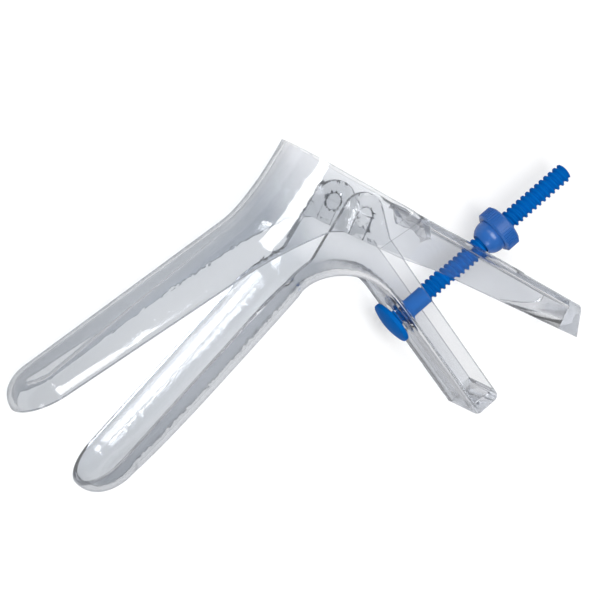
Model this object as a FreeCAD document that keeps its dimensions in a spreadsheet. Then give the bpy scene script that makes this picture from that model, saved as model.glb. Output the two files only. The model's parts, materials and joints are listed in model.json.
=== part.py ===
import FreeCAD, Part
import math
import os
import Sketcher

# A clear plastic bivalve speculum lying on its side. The hinge axis is the vertical line through the
# origin of the closed frame, the bills point along -X and the handles along -Y.
# Both valves are drawn closed and then swung apart by half of the opening each.
# Each shell is lofted with walls that run too far, and trimmed to its side view afterwards.
SIZES = {
    # Opening and hinge
    "opening": 15.1,
    "rim_height": 5.35,
    "rim_gap": 0.4,
    "stud_radius": 2.6,
    "stud_clearance": 0.08,
    "stud_reach": 1.1,
    "boss_radius": 6.0,
    "boss_rise": 0.1,
    "nest_clearance": 0.4,
    "groove_angle": 215.0,
    "groove_length": 12.0,
    # How far walls and cuts run past the line that they are trimmed to
    "spare": 8.0,
    "handle_spare": 20.0,
    "cut_spare": 4.0,
    # Bills
    "bill_width": 27.0,
    "bill_wall": 1.7,
    "bill_side_flat": 0.8,
    "upper_length": 122.0,
    "upper_tip_depth": 7.2,
    "upper_taper": 0.073,
    "flare_start": 36.0,
    "flare_step": 7.5,
    "flare_rise": 0.041,
    "flare_power": 1.6,
    "upper_arch_flat": 1.1,
    "lower_length": 118.3,
    "lower_tip_depth": 8.1,
    "lower_front_place": 92.0,
    "lower_front_depth": 9.6,
    "lower_mid_place": 70.0,
    "lower_mid_depth": 10.4,
    "lower_root_place": 50.0,
    "lower_root_depth": 10.5,
    "scoop_start": 45.0,
    "upper_scoop_end": 12.2,
    "upper_scoop_drop": 3.6,
    "lower_scoop_end": 21.0,
    "lower_scoop_drop": 3.0,
    # Handle of the upper valve, measured from the hinge along and across it
    "upper_handle_angle": 59.7,
    "mouth_offset": 8.5,
    "handle_wall": 1.8,
    "handle_corner": 2.0,
    "upper_handle_length": 81.0,
    "upper_end_slant": 3.5,
    "upper_end_wall": 3.0,
    "upper_end_taper": 2.6,
    "upper_heel_along": 3.8,
    "upper_heel_depth": 15.9,
    "upper_knee_along": 17.5,
    "upper_knee_depth": 14.5,
    "upper_waist_along": 31.0,
    "upper_waist_depth": 12.4,
    "upper_end_depth": 9.0,
    "mouth_floor": 18.0,
    "mouth_floor_slope": 4.5,
    "mouth_floor_depth": 5.0,
    "mouth_floor_wall": 1.6,
    "upper_slot_start": 37.6,
    "upper_slot_end": 61.0,
    "upper_slot_width": 7.0,
    "slot_lip": 0.5,
    "slot_lip_width": 2.6,
    # Handle of the lower valve
    "lower_handle_angle": 82.45,
    "lower_web_offset": 7.6,
    "lower_handle_length": 77.0,
    "lower_handle_width": 20.0,
    "lower_end_wall": 3.0,
    "lower_bend_radius": 20.0,
    "bend_depth": 15.0,
    "bend_swell": 14.0,
    "throat_narrowing": 0.3,
    "lower_edge_offset": 2.0,
    "lower_edge_flare": 0.6,
    "lower_shoulder_along": 12.0,
    "ear_radius": 6.8,
    "ear_top_angle": 65.0,
    "ear_front_angle": 20.0,
    "lower_slot_length": 11.0,
    "lower_slot_width": 5.6,
    # Screw and nut, measured along the screw from the middle of the lower web
    "screw_along": 38.8,
    "head_radius": 7.1,
    "head_dome": 1.3,
    "head_rim": 1.3,
    "head_cone": 1.0,
    "head_seat_radius": 3.6,
    "web_play": 0.45,
    "neck_radius": 2.5,
    "flare_radius": 4.25,
    "flare_length": 3.2,
    "collar_radius": 2.97,
    "collar_end": 10.6,
    "thread_radius": 2.7,
    "screw_reach": 69.5,
    "screw_tip_chamfer": 0.6,
    "nut_seat": 34.0,
    "ball_radius": 5.3,
    "ball_flat_radius": 3.15,
    "flange_start": 39.1,
    "flange_end": 43.7,
    "flange_radius": 6.9,
    "flange_chamfer": 0.6,
    "thread_clearance": 0.06,
}


class Sizes:
    """The driving sizes by name, each a length bound to its cell."""

    def __getattr__(self, name):
        return Length(SIZES[name], f"Sizes.{name}")


class Length:
    """A number that keeps the expression it came from, so that what is made with it follows the sheet."""

    def __init__(self, number, words):
        self.number = number
        self.words = words

    def __add__(self, other):
        return Length(self.number + value(other), f"({self.words} + {words(other)})")

    def __radd__(self, other):
        return Length(other + self.number, f"({words(other)} + {self.words})")

    def __sub__(self, other):
        return Length(self.number - value(other), f"({self.words} - {words(other)})")

    def __rsub__(self, other):
        return Length(other - self.number, f"({words(other)} - {self.words})")

    def __mul__(self, other):
        return Length(self.number * value(other), f"({self.words} * {words(other)})")

    def __rmul__(self, other):
        return Length(other * self.number, f"({words(other)} * {self.words})")

    def __truediv__(self, other):
        return Length(self.number / value(other), f"({self.words} / {words(other)})")

    def __pow__(self, other):
        return Length(self.number ** value(other), f"({self.words} ^ {words(other)})")

    def __neg__(self):
        return Length(-self.number, f"(-{self.words})")


def value(amount):
    """The plain number of a length or of a number."""
    return float(getattr(amount, "number", amount))


def words(amount):
    """The expression of a length or of a number."""
    return amount.words if isinstance(amount, Length) else f"({float(amount)})"


def sin(angle):
    return Length(math.sin(math.radians(angle.number)), f"sin({angle.words})")


def cos(angle):
    return Length(math.cos(math.radians(angle.number)), f"cos({angle.words})")


def sqrt(amount):
    return Length(math.sqrt(amount.number), f"sqrt({amount.words})")


def smaller(first, second):
    return Length(min(first.number, second.number), f"min({first.words}; {second.words})")


def tie(thing, attribute, amount):
    """Bind one property to the sizes that a length comes from. A plain number needs no binding."""
    if isinstance(amount, Length):
        thing.setExpression(attribute, amount.words)


size = Sizes()
HALF_BILL = size.bill_width / 2
INNER_BILL = HALF_BILL - size.bill_wall


def origin_plane(body, role):
    return next(feature for feature in body.Origin.OriginFeatures if feature.Role == role)


def place_sketch(sketch, plane, offset, turn_axis=None, turn=0):
    """Attach a sketch to an origin plane, moved by three lengths and turned about one axis."""
    sketch.AttachmentSupport = [(origin_plane(sketch.getParentGeoFeatureGroup(), plane), "")]
    sketch.MapMode = "FlatFace"
    axis = turn_axis or FreeCAD.Vector(0, 0, 1)
    base = FreeCAD.Vector(*[value(part) for part in offset])
    sketch.AttachmentOffset = FreeCAD.Placement(base, FreeCAD.Rotation(axis, value(turn)))
    for name, part in zip("xyz", offset):
        tie(sketch, f".AttachmentOffset.Base.{name}", part)
    if turn_axis:
        tie(sketch, ".AttachmentOffset.Rotation.Angle", turn)


def draw_outline(sketch, corners, arcs=None):
    """Draw a closed outline through its corners. An arc replaces the side after a corner: it has a
    radius, and bulges to the left (1) or right (-1) of the way round. The radius of a half circle
    on an upright side is None."""
    arcs = arcs or {}
    points = [FreeCAD.Vector(value(x), value(y), 0) for x, y in corners]
    first = sketch.GeometryCount
    sides = []
    for index, start in enumerate(points):
        end = points[(index + 1) % len(points)]
        if index in arcs:
            radius, side = arcs[index]
            length = start.distanceToPoint(end) / 2 if radius is None else value(radius)
            sides.append(arc_between(start, end, length, side))
        else:
            sides.append((Part.LineSegment(start, end), 1, 2))
    for shape, _, _ in sides:
        sketch.addGeometry(shape, False)
    for index, (shape, head, tail) in enumerate(sides):
        following = sides[(index + 1) % len(sides)]
        here = first + index
        there = first + (index + 1) % len(sides)
        sketch.addConstraint(Sketcher.Constraint("Coincident", here, tail, there, following[1]))
    for index, (x, y) in enumerate(corners):
        head = sides[index][1]
        for kind, part in (("DistanceX", x), ("DistanceY", y)):
            number = sketch.addConstraint(Sketcher.Constraint(kind, -1, 1, first + index, head, value(part)))
            tie(sketch, f"Constraints[{number}]", part)
    for index, (radius, _) in arcs.items():
        if radius is not None:
            number = sketch.addConstraint(Sketcher.Constraint("Radius", first + index, value(radius)))
            tie(sketch, f"Constraints[{number}]", radius)
        else:
            middle = corners[index][0]
            rule = Sketcher.Constraint("DistanceX", -1, 1, first + index, 3, value(middle))
            tie(sketch, f"Constraints[{sketch.addConstraint(rule)}]", middle)


def draw_circle(sketch, radius):
    up = FreeCAD.Vector(0, 0, 1)
    sketch.addGeometry(Part.Circle(FreeCAD.Vector(0, 0, 0), up, value(radius)))
    sketch.addConstraint(Sketcher.Constraint("Coincident", 0, 3, -1, 1))
    sketch.addConstraint(Sketcher.Constraint("Radius", 0, value(radius)))
    tie(sketch, "Constraints[1]", radius)


def arc_between(start, end, radius, side):
    """A circular arc from start to end. Its ends are numbered as a sketch numbers them."""
    chord = end - start
    half = chord.Length / 2
    away = FreeCAD.Vector(-chord.y, chord.x, 0).normalize()
    centre_offset = max(radius * radius - half * half, 0.0) ** 0.5
    centre = (start + end) / 2 - away * (centre_offset * side)
    middle = centre + away * (radius * side)
    shape = Part.Arc(start, middle, end)
    return (shape, 1, 2) if side < 0 else (shape, 2, 1)


def arc_radius(run, rise):
    """The radius of an arc that starts level and rises over a run."""
    return (run ** 2 + rise ** 2) / (2 * rise)


def new_sketch(body, name, plane, offset=(0, 0, 0), turn_axis=None, turn=0):
    sketch = body.newObject("Sketcher::SketchObject", name)
    place_sketch(sketch, plane, offset, turn_axis, turn)
    return sketch


def channel_section(body, name, origin, turn, web, edge, half_width, corner):
    """A U section in an upright plane: web and edge are distances along its depth."""
    sketch = new_sketch(body, name, "YZ_Plane", (origin[1], 0, origin[0]), FreeCAD.Vector(0, 1, 0), turn)
    inward = 1 if value(edge) > value(web) else -1
    start = web + inward * corner
    flat = half_width - corner
    corners = [
        (edge, -half_width),
        (start, -half_width),
        (web, -flat),
        (web, flat),
        (start, half_width),
        (edge, half_width),
    ]
    draw_outline(sketch, corners, {1: (corner, inward), 3: (corner, inward)})
    return sketch


def add_loft(body, kind, name, sections, ruled=False):
    loft = body.newObject(kind, name)
    loft.Profile = sections[0]
    loft.Sections = sections[1:]
    loft.Ruled = ruled
    return finish_feature(body, loft)


def finish_feature(body, feature):
    """Recompute, and make sure that the feature worked and changed the solid."""
    before = body.Tip.Shape.Volume if body.Tip and body.Tip is not feature else 0.0
    base = feature.BaseFeature.Shape.Volume if getattr(feature, "BaseFeature", None) else before
    body.Tip = feature
    doc.recompute()
    if "Invalid" in feature.State or "Error" in feature.State or feature.Shape.isNull():
        raise RuntimeError(f"{feature.Name} failed: {feature.State}")
    if abs(feature.Shape.Volume - base) < 1e-3:
        raise RuntimeError(f"{feature.Name} changed nothing")
    return feature


def add_turned(body, kind, name, sketch, axis="V_Axis"):
    turned = body.newObject(kind, name)
    turned.Profile = sketch
    turned.ReferenceAxis = (sketch, [axis])
    turned.Angle = 360
    return finish_feature(body, turned)


def add_cut(body, name, sketch, length=None):
    """Cut a sketch out on both sides of its plane, right through unless a length is given."""
    pocket = body.newObject("PartDesign::Pocket", name)
    pocket.Profile = sketch
    pocket.SideType = "Symmetric"
    if length:
        tie(pocket, "Length", length)
    else:
        pocket.Type = "ThroughAll"
    return finish_feature(body, pocket)


def add_pad(body, name, sketch, length, symmetric=True):
    pad = body.newObject("PartDesign::Pad", name)
    pad.Profile = sketch
    pad.SideType = "Symmetric" if symmetric else "One side"
    tie(pad, "Length", length)
    return finish_feature(body, pad)


def along_upper(across, along):
    """A point of the closed frame, given across and along the upper handle."""
    sine, cosine = sin(size.upper_handle_angle), cos(size.upper_handle_angle)
    return (across * sine + along * cosine, across * cosine - along * sine)


def along_lower(across, along):
    """A point of the closed frame, given across and along the lower handle."""
    sine, cosine = sin(size.lower_handle_angle), cos(size.lower_handle_angle)
    return (across * sine - along * cosine, -across * cosine - along * sine)


def tip_outline(sketch, width, depth, corner, edge, side):
    """Half of a bill's section, to be turned about the upright line through the tip's centre."""
    start = size.rim_height + side * (depth - corner)
    bottom = size.rim_height + side * depth
    corners = [(0, edge), (-width, edge), (-width, start), (corner - width, bottom), (0, bottom)]
    draw_outline(sketch, corners, {2: (corner, side)})


def trim_frame(sketch, corners, arcs):
    """A big rectangle round an outline, which cuts away all that lies outside the outline."""
    low, high = -4 * size.upper_length, 4 * size.upper_length
    draw_outline(sketch, [(low, low), (high, low), (high, high), (low, high)])
    draw_outline(sketch, corners, arcs)


def make_upper_valve():
    body = doc.addObject("PartDesign::Body", "upper_valve")
    tip = HALF_BILL - size.upper_length
    steps = [step * size.flare_step - size.flare_start for step in range(8)]
    outer = []
    inner = []
    for number, place in enumerate([tip] + steps):
        straight = size.upper_tip_depth + size.upper_taper * (place - tip)
        flare = size.flare_rise * (place + size.flare_start) ** size.flare_power if number else 0
        depth = straight + flare
        corner = smaller(depth - size.bill_side_flat, HALF_BILL - size.upper_arch_flat)
        origin = (place, 0)
        outer.append(channel_section(body, f"upper_bill_{number}", origin, 0, size.rim_height + depth,
                                     -size.spare, HALF_BILL, corner))
        inner.append(channel_section(body, f"upper_trough_{number}", origin, 0,
                                     size.rim_height + depth - size.bill_wall, -size.spare - size.cut_spare,
                                     INNER_BILL, corner - size.bill_wall))
    add_loft(body, "PartDesign::AdditiveLoft", "upper_bill", outer[:2], ruled=True)
    add_loft(body, "PartDesign::AdditiveLoft", "upper_flare", outer[1:])
    turn = -size.upper_handle_angle
    end_half = (size.bill_width - size.upper_end_taper) / 2
    reach = size.upper_handle_length + size.spare + size.cut_spare
    edge = -size.handle_spare
    outer_handle = [
        channel_section(body, "upper_handle_root", (0, 0), turn, size.mouth_offset, edge, HALF_BILL,
                        size.handle_corner),
        channel_section(body, "upper_handle_end", along_upper(0, reach), turn, size.mouth_offset, edge,
                        end_half, size.handle_corner),
    ]
    add_loft(body, "PartDesign::AdditiveLoft", "upper_handle", outer_handle, ruled=True)
    boss = new_sketch(body, "hinge_boss_outline", "XY_Plane")
    draw_circle(boss, size.boss_radius)
    add_pad(body, "hinge_boss", boss, 2 * (HALF_BILL + size.boss_rise))
    round_tip = new_sketch(body, "upper_tip_outline", "XY_Plane", (tip, 0, 0))
    tip_outline(round_tip, HALF_BILL, size.upper_tip_depth, size.upper_tip_depth - size.bill_side_flat,
                -size.spare, 1)
    add_turned(body, "PartDesign::Revolution", "upper_tip", round_tip)

    side = new_sketch(body, "upper_side_view", "XY_Plane")
    rim = size.rim_height + size.rim_gap / 2
    scoop = arc_radius(size.scoop_start - size.upper_scoop_end, size.upper_scoop_drop)
    face = size.mouth_offset
    end = size.upper_handle_length
    end_slope = size.upper_end_slant / size.upper_end_depth
    outline = [
        (-size.upper_length - size.spare, rim),
        (-size.scoop_start, rim),
        (-size.upper_scoop_end, rim - size.upper_scoop_drop),
        along_upper(face - size.upper_heel_depth, -size.upper_heel_along),
        along_upper(face - size.upper_knee_depth, size.upper_knee_along),
        along_upper(face - size.upper_waist_depth, size.upper_waist_along),
        along_upper(face - size.upper_end_depth, end + size.upper_end_slant),
        along_upper(face + size.cut_spare, end - end_slope * size.cut_spare),
        along_upper(face + size.cut_spare, size.mouth_floor),
        along_upper(face, size.mouth_floor),
        along_upper(face, -end),
        (-size.upper_length - size.spare, size.upper_length),
    ]
    trim_frame(side, outline, {1: (scoop, 1)})
    add_cut(body, "upper_side_cut", side)

    add_loft(body, "PartDesign::SubtractiveLoft", "upper_trough", inner[:2], ruled=True)
    add_loft(body, "PartDesign::SubtractiveLoft", "upper_throat", inner[1:])
    round_inside = new_sketch(body, "upper_tip_inside_outline", "XY_Plane", (tip, 0, 0))
    tip_outline(round_inside, INNER_BILL, size.upper_tip_depth - size.bill_wall,
                size.upper_tip_depth - size.bill_side_flat - size.bill_wall, -size.spare - size.cut_spare, 1)
    add_turned(body, "PartDesign::Groove", "upper_tip_inside", round_inside)

    inner_end = size.upper_handle_length - size.upper_end_wall
    inner_half = end_half - size.handle_wall
    edge = -size.handle_spare - size.cut_spare
    channel = [
        channel_section(body, "upper_channel_root", (0, 0), turn, size.mouth_offset - size.handle_wall,
                        edge, INNER_BILL, size.handle_corner / 2),
        channel_section(body, "upper_channel_end", along_upper(0, inner_end), turn,
                        size.mouth_offset - size.handle_wall, edge, inner_half, size.handle_corner / 2),
    ]
    add_loft(body, "PartDesign::SubtractiveLoft", "upper_channel", channel, ruled=True)

    floor_share = size.mouth_floor / inner_end
    floor_half = INNER_BILL + (inner_half - INNER_BILL) * floor_share
    window = [
        channel_section(body, "mouth_window_root", (0, 0), turn, size.mouth_offset + size.spare, edge,
                        INNER_BILL, size.handle_corner / 2),
        channel_section(body, "mouth_window_end", along_upper(0, size.mouth_floor), turn,
                        size.mouth_offset + size.spare, edge, floor_half, size.handle_corner / 2),
    ]
    add_loft(body, "PartDesign::SubtractiveLoft", "mouth_window", window, ruled=True)

    floor = new_sketch(body, "mouth_floor_outline", "XY_Plane")
    low = size.mouth_offset - size.mouth_floor_depth
    draw_outline(floor, [
        along_upper(size.mouth_offset - size.handle_wall / 2, size.mouth_floor),
        along_upper(low, size.mouth_floor + size.mouth_floor_slope),
        along_upper(low, size.mouth_floor + size.mouth_floor_slope + size.mouth_floor_wall),
        along_upper(size.mouth_offset - size.handle_wall / 2, size.mouth_floor + size.mouth_floor_wall * 2),
    ])
    add_pad(body, "mouth_floor_ramp", floor, 2 * floor_half + size.bill_wall)

    add_web_slot(body, "upper_slot", along_upper, turn, size.mouth_offset,
                 (size.upper_slot_start, size.upper_slot_end), size.upper_slot_width, size.slot_lip)

    groove = new_sketch(body, "hinge_groove_outline", "XY_Plane", turn_axis=FreeCAD.Vector(0, 0, 1),
                        turn=size.groove_angle)
    groove_half = size.stud_radius + size.stud_clearance
    draw_outline(groove, [(0, -groove_half), (size.groove_length, -groove_half),
                          (size.groove_length, groove_half), (0, groove_half)], {3: (None, -1)})
    add_cut(body, "hinge_groove", groove, 2 * (INNER_BILL + size.stud_reach))
    return body


def slot_outline(body, name, grid, turn, face, ends, width, radius):
    """A slot's outline on a web: its round ends have a radius about the slot's own two centres."""
    x, y = grid(face, (ends[0] + ends[1]) / 2)
    sketch = new_sketch(body, f"{name}_outline", "XZ_Plane", (x, 0, -y), FreeCAD.Vector(0, 1, 0), turn)
    flat = (ends[1] - ends[0] - width) / 2
    corners = [(-flat, -radius), (flat, -radius), (flat, radius), (-flat, radius)]
    draw_outline(sketch, corners, {1: (None, -1), 3: (None, -1)})
    return sketch


def add_web_slot(body, name, grid, turn, face, ends, width, lip=None):
    """A slot with round ends through a web, with a raised lip round it where the nut bears."""
    if lip:
        reach = width / 2 + size.slot_lip_width
        rim = slot_outline(body, f"{name}_lip", grid, turn, face, ends, width, reach)
        add_pad(body, f"{name}_lip_rim", rim, 2 * lip)
    hole = slot_outline(body, name, grid, turn, face, ends, width, width / 2)
    add_cut(body, f"{name}_hole", hole, 4 * size.handle_wall)


BEND_STEPS = 6


def make_lower_valve():
    body = doc.addObject("PartDesign::Body", "lower_valve")
    tip = HALF_BILL - size.lower_length
    turn = size.lower_handle_angle - 180
    nest = INNER_BILL - size.nest_clearance
    handle_half = size.lower_handle_width / 2
    bill_stations = [
        (tip, size.lower_tip_depth),
        (-size.lower_front_place, size.lower_front_depth),
        (-size.lower_mid_place, size.lower_mid_depth),
        (-size.lower_root_place, size.lower_root_depth),
    ]
    sections = []
    for place, depth in bill_stations:
        sections.append(((place, 0), 0, size.rim_height - depth, size.rim_height + size.spare,
                         HALF_BILL, depth - size.bill_side_flat))
    bend = size.lower_bend_radius
    centre_y = size.rim_height - size.lower_root_depth - bend
    centre_x = (centre_y * cos(size.lower_handle_angle) - size.lower_web_offset - bend) / sin(
        size.lower_handle_angle)
    root_corner = size.lower_root_depth - size.bill_side_flat
    for step in range(BEND_STEPS + 1):
        share = step / BEND_STEPS
        half_width = nest + (handle_half - nest) * share ** 2 if step else HALF_BILL - size.throat_narrowing
        depth = size.bend_depth + size.bend_swell * math.sin(math.pi * share)
        sections.append(((centre_x, centre_y), turn * share, bend, bend + depth, half_width,
                         root_corner + (size.handle_corner - root_corner) * share))
    handle_end = (-size.lower_web_offset, size.lower_edge_offset + size.spare, handle_half,
                  size.handle_corner)
    sections.append((along_lower(0, size.lower_handle_length + size.spare), turn) + handle_end)
    shell = []
    for number, (origin, angle, web, edge, half_width, corner) in enumerate(sections):
        shell.append(channel_section(body, f"lower_shell_{number}", origin, angle, web, edge, half_width,
                                     corner))
    sections[-1] = (along_lower(0, size.lower_handle_length - size.lower_end_wall), turn) + handle_end
    trough = []
    for number, (origin, angle, web, edge, half_width, corner) in enumerate(sections):
        trough.append(channel_section(body, f"lower_trough_{number}", origin, angle, web + size.bill_wall,
                                      edge + size.cut_spare, half_width - size.bill_wall,
                                      corner - size.bill_wall / 2))
    bill_end = len(bill_stations)
    bend_end = bill_end + BEND_STEPS
    spans = {"bill": (0, bill_end), "bend": (bill_end, bend_end), "handle": (bend_end, bend_end + 1)}
    for span, (first, last) in spans.items():
        add_loft(body, "PartDesign::AdditiveLoft", f"lower_{span}", shell[first:last + 1])
    round_tip = new_sketch(body, "lower_tip_outline", "XY_Plane", (tip, 0, 0))
    tip_outline(round_tip, HALF_BILL, size.lower_tip_depth, size.lower_tip_depth - size.bill_side_flat,
                size.rim_height + size.spare, -1)
    add_turned(body, "PartDesign::Revolution", "lower_tip", round_tip)

    side = new_sketch(body, "lower_side_view", "XY_Plane")
    rim = size.rim_height - size.rim_gap / 2
    scoop = arc_radius(size.scoop_start - size.lower_scoop_end, size.lower_scoop_drop)
    end_round = size.handle_corner
    outline = [
        (-size.lower_length - size.spare, rim),
        (-size.scoop_start, rim),
        (-size.lower_scoop_end, rim - size.lower_scoop_drop),
        (-size.ear_radius * cos(size.ear_top_angle), size.ear_radius * sin(size.ear_top_angle)),
        (size.ear_radius * cos(size.ear_front_angle), -size.ear_radius * sin(size.ear_front_angle)),
        along_lower(size.lower_edge_offset + size.lower_edge_flare, size.lower_shoulder_along),
        along_lower(size.lower_edge_offset, size.lower_handle_length - end_round),
        along_lower(size.lower_edge_offset - end_round, size.lower_handle_length),
        along_lower(-size.lower_web_offset + end_round, size.lower_handle_length),
        along_lower(-size.lower_web_offset, size.lower_handle_length - end_round),
        along_lower(-2 * size.lower_web_offset, size.lower_handle_length - end_round),
        (-size.lower_length - size.spare, -size.lower_handle_length),
    ]
    trim_frame(side, outline, {1: (scoop, 1), 3: (size.ear_radius, 1), 6: (end_round, 1), 8: (end_round, 1)})
    add_cut(body, "lower_side_cut", side)

    for span, (first, last) in spans.items():
        add_loft(body, "PartDesign::SubtractiveLoft", f"lower_{span}_trough", trough[first:last + 1])
    round_inside = new_sketch(body, "lower_tip_inside_outline", "XY_Plane", (tip, 0, 0))
    tip_outline(round_inside, INNER_BILL, size.lower_tip_depth - size.bill_wall,
                size.lower_tip_depth - size.bill_side_flat - size.bill_wall,
                size.rim_height + size.spare + size.cut_spare, -1)
    add_turned(body, "PartDesign::Groove", "lower_tip_inside", round_inside)

    half_slot = size.lower_slot_length / 2
    add_web_slot(body, "lower_slot", along_lower, turn, -size.lower_web_offset,
                 (size.screw_along - half_slot, size.screw_along + half_slot), size.lower_slot_width)

    stud_root = nest - size.bill_wall / 2
    stud = new_sketch(body, "hinge_stud_outline", "XY_Plane", (0, 0, stud_root))
    draw_circle(stud, size.stud_radius)
    stud_end = INNER_BILL + size.stud_reach - size.nest_clearance / 2
    stud_pad = add_pad(body, "hinge_stud", stud, stud_end - stud_root, symmetric=False)
    mirrored = body.newObject("PartDesign::Mirrored", "hinge_stud_pair")
    mirrored.Originals = [stud_pad]
    mirrored.MirrorPlane = (origin_plane(body, "XY_Plane"), [""])
    finish_feature(body, mirrored)
    return body


def make_screw():
    """The head and the flare hold the web of the lower handle between them."""
    body = doc.addObject("PartDesign::Body", "screw")
    sketch = new_sketch(body, "screw_outline", "XY_Plane")
    seat = size.bill_wall / 2 + size.web_play
    rim = seat + size.head_cone
    crown = rim + size.head_rim + size.head_dome
    dome_radius = arc_radius(size.head_radius, size.head_dome)
    flare_end = seat + size.flare_length
    flare_hollow = arc_radius(size.flare_length, size.flare_radius - size.collar_radius)
    draw_outline(sketch, [
        (-crown, 0),
        (-(rim + size.head_rim), size.head_radius),
        (-rim, size.head_radius),
        (-seat, size.head_seat_radius),
        (-seat, size.neck_radius),
        (seat, size.neck_radius),
        (seat, size.flare_radius),
        (flare_end, size.collar_radius),
        (size.collar_end, size.collar_radius),
        (size.collar_end, size.thread_radius),
        (size.screw_reach - size.screw_tip_chamfer, size.thread_radius),
        (size.screw_reach, size.thread_radius - size.screw_tip_chamfer),
        (size.screw_reach, 0),
    ], {0: (dome_radius, 1), 6: (flare_hollow, -1)})
    add_turned(body, "PartDesign::Revolution", "screw_turned", sketch, "H_Axis")
    return body


def make_nut():
    """A flat-ended ball that bears in the slot of the upper handle, behind a wide flange."""
    body = doc.addObject("PartDesign::Body", "nut")
    sketch = new_sketch(body, "nut_outline", "XY_Plane")
    bore = size.thread_radius + size.thread_clearance
    ball_centre = size.nut_seat + sqrt(size.ball_radius ** 2 - size.ball_flat_radius ** 2)
    ball_root = sqrt(size.ball_radius ** 2 - (size.flange_start - ball_centre) ** 2)
    draw_outline(sketch, [
        (size.nut_seat, bore),
        (size.nut_seat, size.ball_flat_radius),
        (size.flange_start, ball_root),
        (size.flange_start, size.flange_radius - size.flange_chamfer),
        (size.flange_start + size.flange_chamfer, size.flange_radius),
        (size.flange_end - size.flange_chamfer, size.flange_radius),
        (size.flange_end, size.flange_radius - size.flange_chamfer),
        (size.flange_end, bore),
    ], {1: (size.ball_radius, 1)})
    add_turned(body, "PartDesign::Revolution", "nut_turned", sketch, "H_Axis")
    return body


def place_pieces(upper, lower, screw, nut):
    """Swing the valves apart, set the screw square to the lower handle, and stand it all on the floor."""
    up = FreeCAD.Vector(0, 0, 1)
    half_opening = value(size.opening / 2)
    upper.Placement = FreeCAD.Placement(FreeCAD.Vector(), FreeCAD.Rotation(up, -half_opening))
    lower.Placement = FreeCAD.Placement(FreeCAD.Vector(), FreeCAD.Rotation(up, half_opening))
    seat = along_lower(-size.lower_web_offset + size.bill_wall / 2, size.screw_along)
    screw_turn = FreeCAD.Rotation(up, value(size.lower_handle_angle - 90))
    in_valve = FreeCAD.Placement(FreeCAD.Vector(value(seat[0]), value(seat[1]), 0), screw_turn)
    screw.Placement = lower.Placement.multiply(in_valve)
    nut.Placement = screw.Placement
    doc.recompute()
    box = FreeCAD.BoundBox()
    for body in (upper, lower, screw, nut):
        box.add(body.Shape.optimalBoundingBox(False, False))
    shift = FreeCAD.Vector(-box.Center.x, -box.Center.y, -box.ZMin)
    for body in (upper, lower, screw, nut):
        body.Placement = FreeCAD.Placement(shift, FreeCAD.Rotation()).multiply(body.Placement)
    doc.recompute()
    return shift, screw.Placement.Base


doc = FreeCAD.newDocument("speculum")
sheet = doc.addObject("Spreadsheet::Sheet", "Sizes")
for row, (alias, number) in enumerate(SIZES.items(), start=1):
    sheet.set(f"A{row}", alias.replace("_", " "))
    sheet.set(f"B{row}", str(number))
    sheet.setAlias(f"B{row}", alias)
doc.recompute()

pieces = [make_upper_valve(), make_lower_valve(), make_screw(), make_nut()]
hinge, seat = place_pieces(*pieces)
print("hinge axis", hinge, "screw seat", seat)

for thing in doc.Objects:
    if "Invalid" in thing.State or "Error" in thing.State:
        raise RuntimeError(f"{thing.Name} is {thing.State}")
for piece in pieces:
    if piece.Shape.isNull() or not piece.Shape.isValid():
        raise RuntimeError(f"{piece.Label} has no valid shape")
os.makedirs("parts", exist_ok=True)
for piece in pieces:
    piece.Shape.exportStep(f"parts/{piece.Label}.step")
    print(piece.Label, round(piece.Shape.Volume), len(piece.Shape.Solids), "solid", piece.Shape.BoundBox)
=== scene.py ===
import json
import math

import bpy
from mathutils import Matrix, Vector


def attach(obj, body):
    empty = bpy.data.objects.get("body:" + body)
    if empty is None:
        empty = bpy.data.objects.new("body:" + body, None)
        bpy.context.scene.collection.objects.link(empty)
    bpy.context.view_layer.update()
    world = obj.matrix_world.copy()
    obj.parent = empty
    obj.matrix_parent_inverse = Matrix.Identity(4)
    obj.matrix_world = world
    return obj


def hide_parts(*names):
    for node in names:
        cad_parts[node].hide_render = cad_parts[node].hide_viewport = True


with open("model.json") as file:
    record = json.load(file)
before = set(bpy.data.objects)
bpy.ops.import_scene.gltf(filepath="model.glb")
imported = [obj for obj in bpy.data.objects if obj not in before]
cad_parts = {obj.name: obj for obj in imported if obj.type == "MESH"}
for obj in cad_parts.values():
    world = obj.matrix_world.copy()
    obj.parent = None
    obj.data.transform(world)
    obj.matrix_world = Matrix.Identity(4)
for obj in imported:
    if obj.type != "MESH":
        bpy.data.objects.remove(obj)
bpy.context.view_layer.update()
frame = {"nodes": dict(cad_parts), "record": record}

bl_info = {
    "name": "Clear plastic speculum",
    "version": (1, 0, 0),
    "blender": (4, 5, 0),
    "location": "View3D > Sidebar > Speculum",
    "description": "Dresses the hinged valves, the screw and the nut of a bivalve speculum",
    "category": "Object",
}

MM = 0.001
HINGE, SCREW_SEAT = (Vector(joint["pos_m"]) for joint in frame["record"]["behaviour"]["joints"][:2])
FULL_TURN = 2 * math.pi
TINY = 0.001 * MM
PLASTIC_IOR = 1.49

# Along X, where the painted shade of the bills' tips turns into the lighter painted shade of the bills, and
# the bills' into the handles' own tint
TIP_TO_BILL = (-85 * MM, -40 * MM)
BILL_TO_HANDLE = (8 * MM, 26 * MM)
# Distances from the hinge's axis between which the plastic takes the hinge's painted light, a lighter tint
AWAY_TO_HINGE = (22 * MM, 10 * MM)

# The nut's bore stands off the thread's crest by this, and a grip rib and its gap take this many steps
BORE_GAP = 0.04 * MM
STEPS_PER_RIB = 3

# The Mix node's colour sockets, which share their names with its other sockets
COLOUR_A = 6
COLOUR_B = 7
COLOUR_RESULT = 2


def colour_property(name, description, default):
    return bpy.props.FloatVectorProperty(
        name=name, description=description, subtype="COLOR", size=3, default=default)


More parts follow.
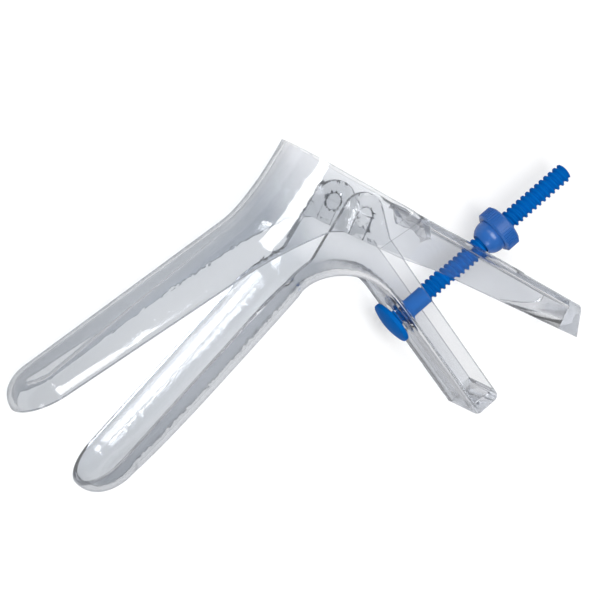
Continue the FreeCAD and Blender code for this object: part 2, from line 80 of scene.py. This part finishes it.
class ClearPlasticSizes(bpy.types.PropertyGroup):
    # Painted shade: the tips and the bills are tinted darker than the handles.
    tip_painted_shade: colour_property(
        "Tip tint", "Colour that a wall of the bills' tips gives to light", (0.58, 0.60, 0.63))
    bill_painted_shade: colour_property(
        "Bill tint", "Colour that a wall of the bills gives to light on its way through", (0.68, 0.70, 0.73))
    handle_tint: colour_property(
        "Handle tint", "Colour that a wall of the handles gives to light", (0.895, 0.90, 0.915))
    # Painted light: the lighter tint round the hinge.
    hinge_painted_light: colour_property(
        "Hinge tint", "Colour that a wall gives to light round the hinge", (0.935, 0.940, 0.950))
    # Painted shade: the darker tint that sharp edges are painted with.
    edge_painted_shade: colour_property(
        "Edge tint", "Colour that a sharp edge gives to light", (0.38, 0.39, 0.41))
    trapped_tint: colour_property(
        "Trapped tint", "Colour of light that has bounced many times inside a wall", (0.66, 0.67, 0.69))
    # Painted shade: grey let through where the plastic, seen along a wall, would mostly mirror.
    grazing_painted_shade: colour_property(
        "Side tint", "Colour of the plastic where it is seen along a wall", (0.62, 0.64, 0.67))
    shadow_tint: colour_property(
        "Shadow tint", "Colour that each face leaves in the shadows", (0.86, 0.87, 0.88))
    depth_tint: colour_property(
        "Depth tint", "Colour that builds up inside thick places", (0.80, 0.82, 0.86))
    density: bpy.props.FloatProperty(
        name="Density", description="How fast light fades inside the plastic, per metre", default=30.0)
    edge_radius: bpy.props.FloatProperty(
        name="Edge radius", description="How far moulded edges are rounded in the shading",
        subtype="DISTANCE", default=0.3 * MM)
    waviness: bpy.props.FloatProperty(
        name="Waviness", description="Height of the slow waves that moulding leaves",
        subtype="DISTANCE", default=0.05 * MM)


class BluePlasticSizes(bpy.types.PropertyGroup):
    colour: colour_property("Colour", "Colour of the screw and the nut", (0.0005, 0.100, 0.375))
    grain: bpy.props.FloatProperty(
        name="Grain", description="Height of the fine texture of the mould", subtype="DISTANCE",
        default=0.03 * MM)


class ScrewSizes(bpy.types.PropertyGroup):
    head_radius: bpy.props.FloatProperty(
        name="Head radius", description="Radius of the round head", subtype="DISTANCE", default=7.1 * MM)
    collar_end: bpy.props.FloatProperty(
        name="Collar end", description="Where the smooth collar ends, from the seat", subtype="DISTANCE",
        default=10.6 * MM)
    reach: bpy.props.FloatProperty(
        name="Reach", description="Where the thread ends, from the seat", subtype="DISTANCE",
        default=69.5 * MM)
    pitch: bpy.props.FloatProperty(
        name="Pitch", description="Rise of the thread in one turn", subtype="DISTANCE", default=1.9 * MM)
    crest: bpy.props.FloatProperty(
        name="Crest radius", description="Outer radius of the thread", subtype="DISTANCE", default=3.05 * MM)
    root: bpy.props.FloatProperty(
        name="Root radius", description="Radius at the bottom of the thread", subtype="DISTANCE",
        default=2.3 * MM)


class NutSizes(bpy.types.PropertyGroup):
    flange_radius: bpy.props.FloatProperty(
        name="Flange radius", description="Radius over the ribs of the nut", subtype="DISTANCE",
        default=7.05 * MM)
    rib_count: bpy.props.IntProperty(
        name="Ribs", description="How many grip ribs stand round the nut", default=48)
    rib_height: bpy.props.FloatProperty(
        name="Rib height", description="How far a grip rib stands out", subtype="DISTANCE",
        default=0.25 * MM)


class Socket:
    """A shader socket that can be used in plain sums."""

    def __init__(self, maker, output):
        self.maker = maker
        self.output = output

    def _math(self, operation, first, second):
        return self.maker.node("ShaderNodeMath", {"operation": operation}, {0: first, 1: second})

    def __add__(self, other):
        return self._math("ADD", self, other)

    __radd__ = __add__

    def __mul__(self, other):
        return self._math("MULTIPLY", self, other)

    __rmul__ = __mul__


class Maker:
    """Builds one material's nodes."""

    def __init__(self, name):
        self.material = bpy.data.materials.new(name)
        self.material.use_nodes = True
        self.tree = self.material.node_tree
        self.tree.nodes.clear()

    def node(self, kind, settings=None, inputs=None, output=0):
        made = self.tree.nodes.new(kind)
        for setting, value in (settings or {}).items():
            setattr(made, setting, value)
        for socket, value in (inputs or {}).items():
            if isinstance(value, Socket):
                self.tree.links.new(value.output, made.inputs[socket])
            else:
                made.inputs[socket].default_value = value
        return Socket(self, made.outputs[output])

    def noise(self, scale, detail=2.0, stretch=(1.0, 1.0, 1.0)):
        """Noise on the piece's own coordinates, in waves per metre."""
        place = self.node("ShaderNodeTexCoord", output="Object")
        stretched = self.node("ShaderNodeMapping", inputs={"Vector": place, "Scale": stretch})
        return self.node("ShaderNodeTexNoise", inputs={
            "Vector": stretched, "Scale": scale, "Detail": detail})

    def ramp(self, value, start, end, top=1.0):
        """Rise from 0 where the value is start to top where it is end."""
        return self.node("ShaderNodeMapRange", inputs={
            "Value": value, "From Min": start, "From Max": end, "To Min": 0.0, "To Max": top})

    def blend(self, factor, first, second):
        """Go from the first colour to the second as the factor goes from 0 to 1."""
        first, second = (
            colour if isinstance(colour, Socket) else (*colour, 1.0) for colour in (first, second))
        return self.node("ShaderNodeMix", {"data_type": "RGBA"}, {
            "Factor": factor, COLOUR_A: first, COLOUR_B: second}, output=COLOUR_RESULT)

    def clear(self, colour):
        """Let light straight through, with a tint."""
        return self.node("ShaderNodeBsdfTransparent", inputs={"Color": (*colour, 1.0)})

    def choose(self, factor, first, second):
        """Go from the first surface to the second as the factor goes from 0 to 1."""
        return self.node("ShaderNodeMixShader", inputs={0: factor, 1: first, 2: second})

    def finish(self, surface, volume=None):
        end = self.tree.nodes.new("ShaderNodeOutputMaterial")
        self.tree.links.new(surface.output, end.inputs["Surface"])
        if volume:
            self.tree.links.new(volume.output, end.inputs["Volume"])
        return self.material


def tint_with_painted_light_and_shade(maker, sizes, edge):
    """The clear plastic's tint, from the bills' tips to the handles, the hinge and the edges: painted shade
    darkens the tips, the bills and sharp edges, and painted light lightens the hinge.
    """
    place = maker.node("ShaderNodeTexCoord", output="Object")
    along = maker.node("ShaderNodeSeparateXYZ", inputs={0: place})
    # Painted shade, darker from the handles towards the bills' tips.
    tint = maker.blend(maker.ramp(along, *TIP_TO_BILL), sizes.tip_painted_shade, sizes.bill_painted_shade)
    tint = maker.blend(maker.ramp(along, *BILL_TO_HANDLE), tint, sizes.handle_tint)
    flat_place = maker.node("ShaderNodeMapping", inputs={"Vector": place, "Scale": (1.0, 1.0, 0.0)})
    from_hinge = maker.node("ShaderNodeVectorMath", {"operation": "DISTANCE"}, {
        0: flat_place, 1: (*HINGE[:2], 0.0)}, output="Value")
    # Painted light, lighter round the hinge.
    tint = maker.blend(maker.ramp(from_hinge, *AWAY_TO_HINGE), tint, sizes.hinge_painted_light)
    # Painted shade along sharp edges.
    return maker.blend(edge, tint, sizes.edge_painted_shade)


def clear_plastic(sizes):
    maker = Maker("clear_plastic")
    slow_waves = maker.noise(90.0, 1.0, (0.6, 1.0, 1.0))
    rounded = maker.node("ShaderNodeBevel", {"samples": 8}, {"Radius": sizes.edge_radius})
    wavy = maker.node("ShaderNodeBump", inputs={
        "Distance": sizes.waviness, "Height": slow_waves, "Normal": rounded})

    # Where the rounded normal leaves the true one, there is an edge, and there the tint is painted darker as
    # painted shade.
    true_normal = maker.node("ShaderNodeNewGeometry", output="Normal")
    agreement = maker.node("ShaderNodeVectorMath", {"operation": "DOT_PRODUCT"}, {
        0: rounded, 1: true_normal}, output="Value")
    edge = maker.ramp(agreement, 0.995, 0.90)

    smudges = maker.noise(900.0)
    surface = maker.node("ShaderNodeBsdfPrincipled", inputs={
        "Base Color": tint_with_painted_light_and_shade(maker, sizes, edge), "Roughness": 0.015 + 0.05 * smudges,
        "IOR": PLASTIC_IOR, "Transmission Weight": 0.99, "Normal": wavy})

    # Light that has bounced many times inside a wall goes straight out, so that edges don't turn black.
    bounces = maker.node("ShaderNodeLightPath", output="Ray Depth")
    mirrored = maker.node("ShaderNodeLightPath", output="Glossy Depth")
    trapped = maker.node("ShaderNodeMath", {"operation": "GREATER_THAN"}, {
        0: mirrored + 0.3 * bounces, 1: 3.2})
    surface = maker.choose(trapped, surface, maker.clear(sizes.trapped_tint))

    # Seen along a wall, the plastic lets light through with a grey tint, where it would mostly mirror:
    # painted shade that greys its outlines.
    grazing = maker.node("ShaderNodeLayerWeight", inputs={"Blend": 0.5}, output="Facing")
    surface = maker.choose(maker.ramp(grazing, 0.62, 0.95, top=0.85), surface, maker.clear(sizes.grazing_painted_shade))

    # The lamps shine through the plastic, so its shadows are pale.
    shadow = maker.node("ShaderNodeLightPath", output="Is Shadow Ray")
    surface = maker.choose(shadow, surface, maker.clear(sizes.shadow_tint))

    volume = maker.node("ShaderNodeVolumeAbsorption", inputs={
        "Color": (*sizes.depth_tint, 1.0), "Density": sizes.density})
    return maker.finish(surface, volume)


def blue_plastic(sizes):
    maker = Maker("blue_plastic")
    grain = maker.noise(2500.0)
    worn = maker.noise(160.0)
    worn_lightening = 1.35
    worn_colour = [worn_lightening * part for part in sizes.colour]
    bumpy = maker.node("ShaderNodeBump", inputs={"Distance": sizes.grain, "Height": grain})
    surface = maker.node("ShaderNodeBsdfPrincipled", inputs={
        "Base Color": maker.blend(worn, sizes.colour, worn_colour), "Roughness": 0.34 + 0.16 * worn,
        "IOR": PLASTIC_IOR, "Specular IOR Level": 0.015, "Normal": bumpy})
    return maker.finish(surface)


def start_piece(name, place):
    """Start a piece as a single point in edit mode."""
    bpy.ops.object.select_all(action="DESELECT")
    bpy.ops.mesh.primitive_plane_add(size=MM, location=place)
    piece = bpy.context.object
    piece.name = name
    piece.data.name = name
    bpy.ops.object.mode_set(mode="EDIT")
    bpy.ops.mesh.select_all(action="SELECT")
    bpy.ops.mesh.merge(type="CENTER")
    return piece


def turned(name, outline, steps=72, rise=0.0, turns=1):
    """Turn an outline of points along and out from the screw's axis, or wind it up along the axis."""
    piece = start_piece(name, SCREW_SEAT)
    here = (0.0, 0.0)
    for along, out in outline:
        move = (along - here[0], out - here[1], 0.0)
        if here == (0.0, 0.0):
            bpy.ops.transform.translate(value=move)
        else:
            bpy.ops.mesh.extrude_vertices_move(TRANSFORM_OT_translate={"value": move})
        here = (along, out)
    bpy.ops.object.mode_set(mode="OBJECT")
    winding = piece.modifiers.new("winding", "SCREW")
    winding.axis = "X"
    winding.angle = FULL_TURN
    winding.screw_offset = rise
    winding.iterations = turns
    winding.steps = winding.render_steps = steps
    winding.use_merge_vertices = True
    winding.merge_threshold = TINY
    bpy.ops.object.modifier_apply(modifier=winding.name)
    bpy.ops.object.mode_set(mode="EDIT")
    bpy.ops.mesh.select_all(action="SELECT")
    bpy.ops.mesh.remove_doubles(threshold=TINY)
    bpy.ops.mesh.normals_make_consistent(inside=False)
    bpy.ops.object.mode_set(mode="OBJECT")
    return piece


def round_edges(piece, width, segments=2):
    rounding = piece.modifiers.new("rounding", "BEVEL")
    rounding.width = width
    rounding.segments = segments
    rounding.limit_method = "ANGLE"
    rounding.angle_limit = math.radians(25)
    bpy.context.view_layer.objects.active = piece
    bpy.ops.object.modifier_apply(modifier=rounding.name)


def finish_piece(piece, material, body, slot, *nodes):
    """Settle the piece's place in its mesh, smooth it, and hang it on its body."""
    bpy.ops.object.select_all(action="DESELECT")
    piece.select_set(True)
    bpy.context.view_layer.objects.active = piece
    bpy.ops.object.transform_apply(location=True, rotation=True, scale=True)
    bpy.ops.object.shade_smooth_by_angle(angle=math.radians(28))
    evening = piece.modifiers.new("evening", "WEIGHTED_NORMAL")
    evening.keep_sharp = True
    evening.weight = 100
    bpy.ops.object.modifier_apply(modifier=evening.name)
    piece.data.materials.clear()
    piece.data.materials.append(material)
    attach(piece, body)
    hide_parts(*nodes)


def arc(start, end, centre_along, radius, steps=10):
    """Points of an arc about a point on the axis, between two places along it."""
    first, last = (
        math.acos(max(-1.0, min(1.0, (place - centre_along) / radius))) for place in (start, end))
    turns = (first + (last - first) * step / steps for step in range(steps + 1))
    return [(centre_along + radius * math.cos(turn), radius * math.sin(turn)) for turn in turns]


def white_floor():
    """A floor that takes shadows, and that looks brighter than it is lit."""
    maker = Maker("white_floor")
    path = maker.node("ShaderNodeLightPath")
    outputs = path.output.node.outputs
    seen, mirrored, through = (
        Socket(maker, outputs[name])
        for name in ("Is Camera Ray", "Is Glossy Ray", "Is Transmission Ray"))
    grey = 0.58
    seen_lift = 0.42
    plastic_lift = 0.17
    diffuse = maker.node("ShaderNodeBsdfDiffuse", inputs={"Color": (grey, grey, grey, 1.0)})
    lift = maker.node("ShaderNodeEmission", inputs={
        "Strength": seen_lift * seen + plastic_lift * (through + mirrored)})
    return maker.finish(maker.node("ShaderNodeAddShader", inputs={0: diffuse, 1: lift}))


def light_room(scene):
    """Light from all round, which looks darker in reflections than the light it gives."""
    light = 0.45
    mirrored_light = 0.16
    world = bpy.data.worlds.new("studio")
    scene.world = world
    world.use_nodes = True
    room = world.node_tree.nodes["Background"]
    room.inputs["Color"].default_value = (1, 1, 1, 1)
    path = world.node_tree.nodes.new("ShaderNodeLightPath")
    dimmed = world.node_tree.nodes.new("ShaderNodeMapRange")
    dimmed.inputs["To Min"].default_value = light
    dimmed.inputs["To Max"].default_value = mirrored_light
    world.node_tree.links.new(path.outputs["Is Glossy Ray"], dimmed.inputs["Value"])
    world.node_tree.links.new(dimmed.outputs["Result"], room.inputs["Strength"])


def hang_lamp(scene, name, place, size, power):
    """Hang a rectangular lamp that faces the part, with its first side as near to X as that allows."""
    data = bpy.data.lights.new(name, "AREA")
    data.shape = "RECTANGLE"
    data.size, data.size_y = size
    data.energy = power
    lamp = bpy.data.objects.new(name, data)
    scene.collection.objects.link(lamp)
    away = Vector(place).normalized()
    side = (Vector((1, 0, 0)) - away * away.x).normalized()
    lamp.matrix_world = Matrix.Translation(place) @ Matrix(
        (side, away.cross(side), away)).transposed().to_4x4()


def set_camera(scene):
    """Look at the part as the photo does: far away, with the hinge's ear at its place in the picture."""
    right = Vector((0.7402, -0.5342, 0.4086))
    up = Vector((0.6431, 0.7398, -0.1979))
    back = Vector((-0.1965, 0.4092, 0.891))
    distance = 2.5
    sensor = 36.0
    view_width = 0.1818
    picture = 600
    pixel = view_width / picture
    ear = HINGE + Vector((0, 0, 10.5 * MM))
    ear_across, ear_down = 362, 214

    data = bpy.data.cameras.new("camera")
    data.sensor_width = sensor
    data.lens = sensor * distance / view_width
    camera = bpy.data.objects.new("camera", data)
    scene.collection.objects.link(camera)
    middle = picture / 2
    centre = ear - right * ((ear_across - middle) * pixel) - up * ((middle - ear_down) * pixel)
    turn = Matrix((right, up, back)).transposed().to_4x4()
    camera.matrix_world = Matrix.Translation(centre + back * distance) @ turn
    scene.camera = camera


class SPECULUM_OT_stage(bpy.types.Operator):
    """Set the floor, the light and the camera"""
    bl_idname = "speculum.stage"
    bl_label = "Stage"

    def execute(self, context):
        scene = context.scene
        floor_size = 6.0
        below = 0.05 * MM
        bpy.ops.object.select_all(action="DESELECT")
        bpy.ops.mesh.primitive_plane_add(size=floor_size, location=(0, 0, -below))
        floor = context.object
        floor.name = "floor"
        floor.data.materials.append(white_floor())
        light_room(scene)
        hang_lamp(scene, "overhead", place=(0.05, 0.30, 1.2), size=(0.40, 1.00), power=10.5)
        hang_lamp(scene, "back_strip", place=(0.03, 1.05, 0.75), size=(0.07, 0.60), power=1.8)
        hang_lamp(scene, "side", place=(-1.2, -0.3, 0.7), size=(0.3, 0.6), power=3.0)
        set_camera(scene)
        scene.view_settings.view_transform = "Standard"
        return {"FINISHED"}


class SPECULUM_OT_valves(bpy.types.Operator):
    """Give both valves smooth faces and their clear plastic"""
    bl_idname = "speculum.valves"
    bl_label = "Valves"

    def execute(self, context):
        material = clear_plastic(context.scene.speculum_clear)
        for name in ("upper_valve", "lower_valve"):
            bpy.ops.object.select_all(action="DESELECT")
            piece = frame["nodes"][name].copy()
            piece.data = piece.data.copy()
            piece.name = piece.data.name = name + "_moulding"
            context.scene.collection.objects.link(piece)
            piece.hide_render = False
            piece.select_set(True)
            context.view_layer.objects.active = piece
            bpy.ops.object.mode_set(mode="EDIT")
            bpy.ops.mesh.select_all(action="SELECT")
            bpy.ops.mesh.remove_doubles(threshold=TINY / 2)
            bpy.ops.object.mode_set(mode="OBJECT")
            finish_piece(piece, material, name, "clear_plastic", name)
        return {"FINISHED"}


def head_outline(sizes):
    """The screw's domed head, the neck in the handle's slot, the flared base and the collar."""
    neck_half, neck_radius = 1.3 * MM, 2.5 * MM
    under_head, under_radius = 1.0 * MM, 3.6 * MM
    head_edge, dome = 1.3 * MM, 1.3 * MM
    collar_radius = 2.97 * MM
    flare_rise, flare_length, flare_steps = 1.28 * MM, 3.2 * MM, 8

    rim = neck_half + under_head
    dome_start = rim + head_edge
    crown = dome_start + dome
    dome_radius = (sizes.head_radius ** 2 + dome ** 2) / (2 * dome)
    outline = arc(-crown, -dome_start, dome_radius - crown, dome_radius)
    outline += [(-rim, sizes.head_radius), (-neck_half, under_radius), (-neck_half, neck_radius),
                (neck_half, neck_radius)]
    for step in range(flare_steps + 1):
        share = step / flare_steps
        outline.append((neck_half + flare_length * share, collar_radius + flare_rise * (1 - share) ** 2))
    outline += [(sizes.collar_end, collar_radius), (sizes.collar_end, 0.0)]
    return outline


def thread_outline(sizes):
    """One turn of the thread, with its crest and its root a little flattened."""
    steps = 10
    flattening = 1.25
    middle = (sizes.crest + sizes.root) / 2
    half = (sizes.crest - sizes.root) / 2
    outline = []
    for step in range(steps + 1):
        share = step / steps
        height = max(-1.0, min(1.0, -flattening * math.cos(FULL_TURN * share)))
        outline.append((share * sizes.pitch, middle + half * height))
    return outline


def thread_stock(sizes, start):
    """The space that the thread is cut to, with a rounded end."""
    round_end = 1.1 * MM
    wide = 2 * sizes.crest
    end = sizes.reach + 0.01 * MM
    return turned("screw_stock", [
        (start - MM, 0.0), (start - MM, wide), (sizes.reach - 3 * round_end, wide),
        (sizes.reach - round_end, sizes.crest),
        (sizes.reach - 0.35 * round_end, sizes.crest - 0.3 * round_end),
        (end, sizes.crest - round_end), (end, 0.0)], 48)


def make_thread(sizes):
    """Wind the thread past both ends, close it there, and round its free end."""
    spare_turns = 3
    turns = math.ceil((sizes.reach - sizes.collar_end) / sizes.pitch) + spare_turns
    thread = turned("screw_thread", thread_outline(sizes), 36, sizes.pitch, turns)
    start = sizes.collar_end - 0.5 * MM
    bpy.ops.object.mode_set(mode="EDIT")
    bpy.ops.mesh.select_all(action="SELECT")
    bpy.ops.transform.translate(value=(start - spare_turns / 2 * sizes.pitch, 0, 0))
    for place, direction in ((start, -1), (sizes.reach, 1)):
        bpy.ops.mesh.select_all(action="SELECT")
        bpy.ops.mesh.bisect(plane_co=SCREW_SEAT + Vector((place, 0, 0)), plane_no=(direction, 0, 0),
                            use_fill=True, clear_outer=True)
    bpy.ops.object.mode_set(mode="OBJECT")
    stock = thread_stock(sizes, start)
    bpy.ops.object.select_all(action="DESELECT")
    thread.select_set(True)
    bpy.context.view_layer.objects.active = thread
    trimming = thread.modifiers.new("trimming", "BOOLEAN")
    trimming.operation = "INTERSECT"
    trimming.object = stock
    bpy.ops.object.modifier_apply(modifier=trimming.name)
    bpy.data.objects.remove(stock)
    return thread


class SPECULUM_OT_screw(bpy.types.Operator):
    """Turn the screw's head and collar, and wind its thread"""
    bl_idname = "speculum.screw"
    bl_label = "Screw"

    def execute(self, context):
        sizes = context.scene.speculum_screw
        material = blue_plastic(context.scene.speculum_blue)
        head = turned("screw_head", head_outline(sizes))
        round_edges(head, 0.22 * MM)
        finish_piece(head, material, "screw", "blue_plastic", "screw")
        finish_piece(make_thread(sizes), material, "screw", "blue_plastic", "screw")
        return {"FINISHED"}


def nut_outline(base, bore):
    """The ball with its flat end, and the flange with chamfered edges, round the bore."""
    ball = 5.3 * MM
    seat_place, seat_radius = 34.0 * MM, 3.15 * MM
    flat_radius = 3.45 * MM
    flange_start, flange_end = 39.2 * MM, 44.2 * MM
    edge, mouth = 0.55 * MM, 0.5 * MM

    centre = seat_place + math.sqrt(ball ** 2 - seat_radius ** 2)
    ball_start = centre - math.sqrt(ball ** 2 - flat_radius ** 2)
    outline = [(ball_start, bore)]
    outline += arc(ball_start, flange_start, centre, ball)
    outline += [(flange_start, base - edge), (flange_start + edge, base), (flange_end - edge, base),
                (flange_end, base - edge), (flange_end, bore + mouth), (flange_end - mouth, bore),
                (ball_start, bore)]
    return outline


class SPECULUM_OT_nut(bpy.types.Operator):
    """Turn the nut's ball and flange, and raise its grip ribs"""
    bl_idname = "speculum.nut"
    bl_label = "Nut"

    def execute(self, context):
        sizes = context.scene.speculum_nut
        material = bpy.data.materials["blue_plastic"]
        bore = context.scene.speculum_screw.crest + BORE_GAP
        base = sizes.flange_radius - sizes.rib_height
        steps = STEPS_PER_RIB * sizes.rib_count
        nut = turned("nut_knurled", nut_outline(base, bore), steps)
        bpy.ops.object.mode_set(mode="EDIT")
        bpy.ops.mesh.select_mode(type="FACE")
        bpy.ops.mesh.select_all(action="DESELECT")
        bpy.ops.object.mode_set(mode="OBJECT")
        for face in nut.data.polygons:
            out = math.hypot(face.normal.y, face.normal.z)
            level = math.hypot(face.center.y, face.center.z)
            angle = math.atan2(face.center.z, face.center.y) % FULL_TURN
            place = math.floor(angle / FULL_TURN * steps)
            on_rim = out > 0.99 and level > 0.98 * base
            face.select = on_rim and place % STEPS_PER_RIB == 0
        bpy.ops.object.mode_set(mode="EDIT")
        bpy.ops.mesh.extrude_region_shrink_fatten(
            TRANSFORM_OT_shrink_fatten={"value": sizes.rib_height})
        bpy.ops.object.mode_set(mode="OBJECT")
        finish_piece(nut, material, "nut", "blue_plastic", "nut")
        return {"FINISHED"}


class SPECULUM_PT_panel(bpy.types.Panel):
    """Buttons for the stage and the pieces"""
    bl_idname = "SPECULUM_PT_panel"
    bl_label = "Speculum"
    bl_space_type = "VIEW_3D"
    bl_region_type = "UI"
    bl_category = "Speculum"

    def draw(self, context):
        for operator in OPERATORS:
            self.layout.operator(operator.bl_idname)


OPERATORS = (SPECULUM_OT_stage, SPECULUM_OT_valves, SPECULUM_OT_screw, SPECULUM_OT_nut)
GROUPS = {
    "speculum_clear": ClearPlasticSizes,
    "speculum_blue": BluePlasticSizes,
    "speculum_screw": ScrewSizes,
    "speculum_nut": NutSizes,
}


def register():
    for cls in (*GROUPS.values(), *OPERATORS, SPECULUM_PT_panel):
        bpy.utils.register_class(cls)
    for name, group in GROUPS.items():
        setattr(bpy.types.Scene, name, bpy.props.PointerProperty(type=group))


def unregister():
    for name in GROUPS:
        delattr(bpy.types.Scene, name)
    for cls in (SPECULUM_PT_panel, *OPERATORS, *GROUPS.values()):
        bpy.utils.unregister_class(cls)


def main():
    register()
    bpy.ops.speculum.stage()
    bpy.ops.speculum.valves()
    bpy.ops.speculum.screw()
    bpy.ops.speculum.nut()


if __name__ == "__main__":
    main()
